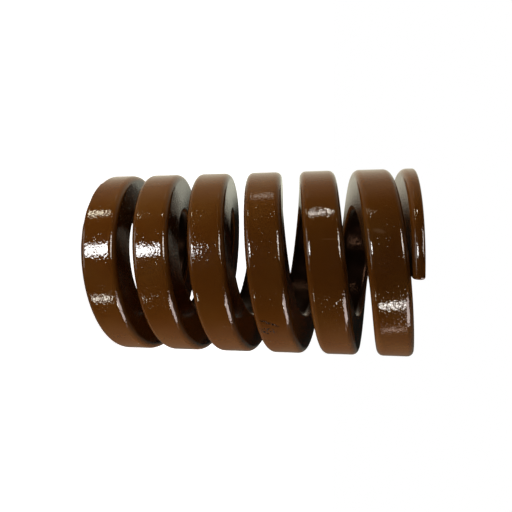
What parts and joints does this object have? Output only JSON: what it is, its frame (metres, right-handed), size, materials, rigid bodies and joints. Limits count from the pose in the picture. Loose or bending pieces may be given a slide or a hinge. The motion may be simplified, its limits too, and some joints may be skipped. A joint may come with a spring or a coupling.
{
  "type": "coil spring",
  "caption": "Right-hand compression coil spring of heavy rectangular wire, closed and ground flat at both ends, in gloss brown enamel; guided on a rod through its bore.",
  "frame": {"origin": "centre of the bottom ground face, on the spring axis", "axes": "+Z along the spring axis towards the top ground face"},
  "size_m": [0.06, 0.06, 0.1],
  "materials": {
    "enamel": "gloss"
  },
  "bodies": {
    "root": {"coil_spring": "enamel"}
  },
  "joints": []
}
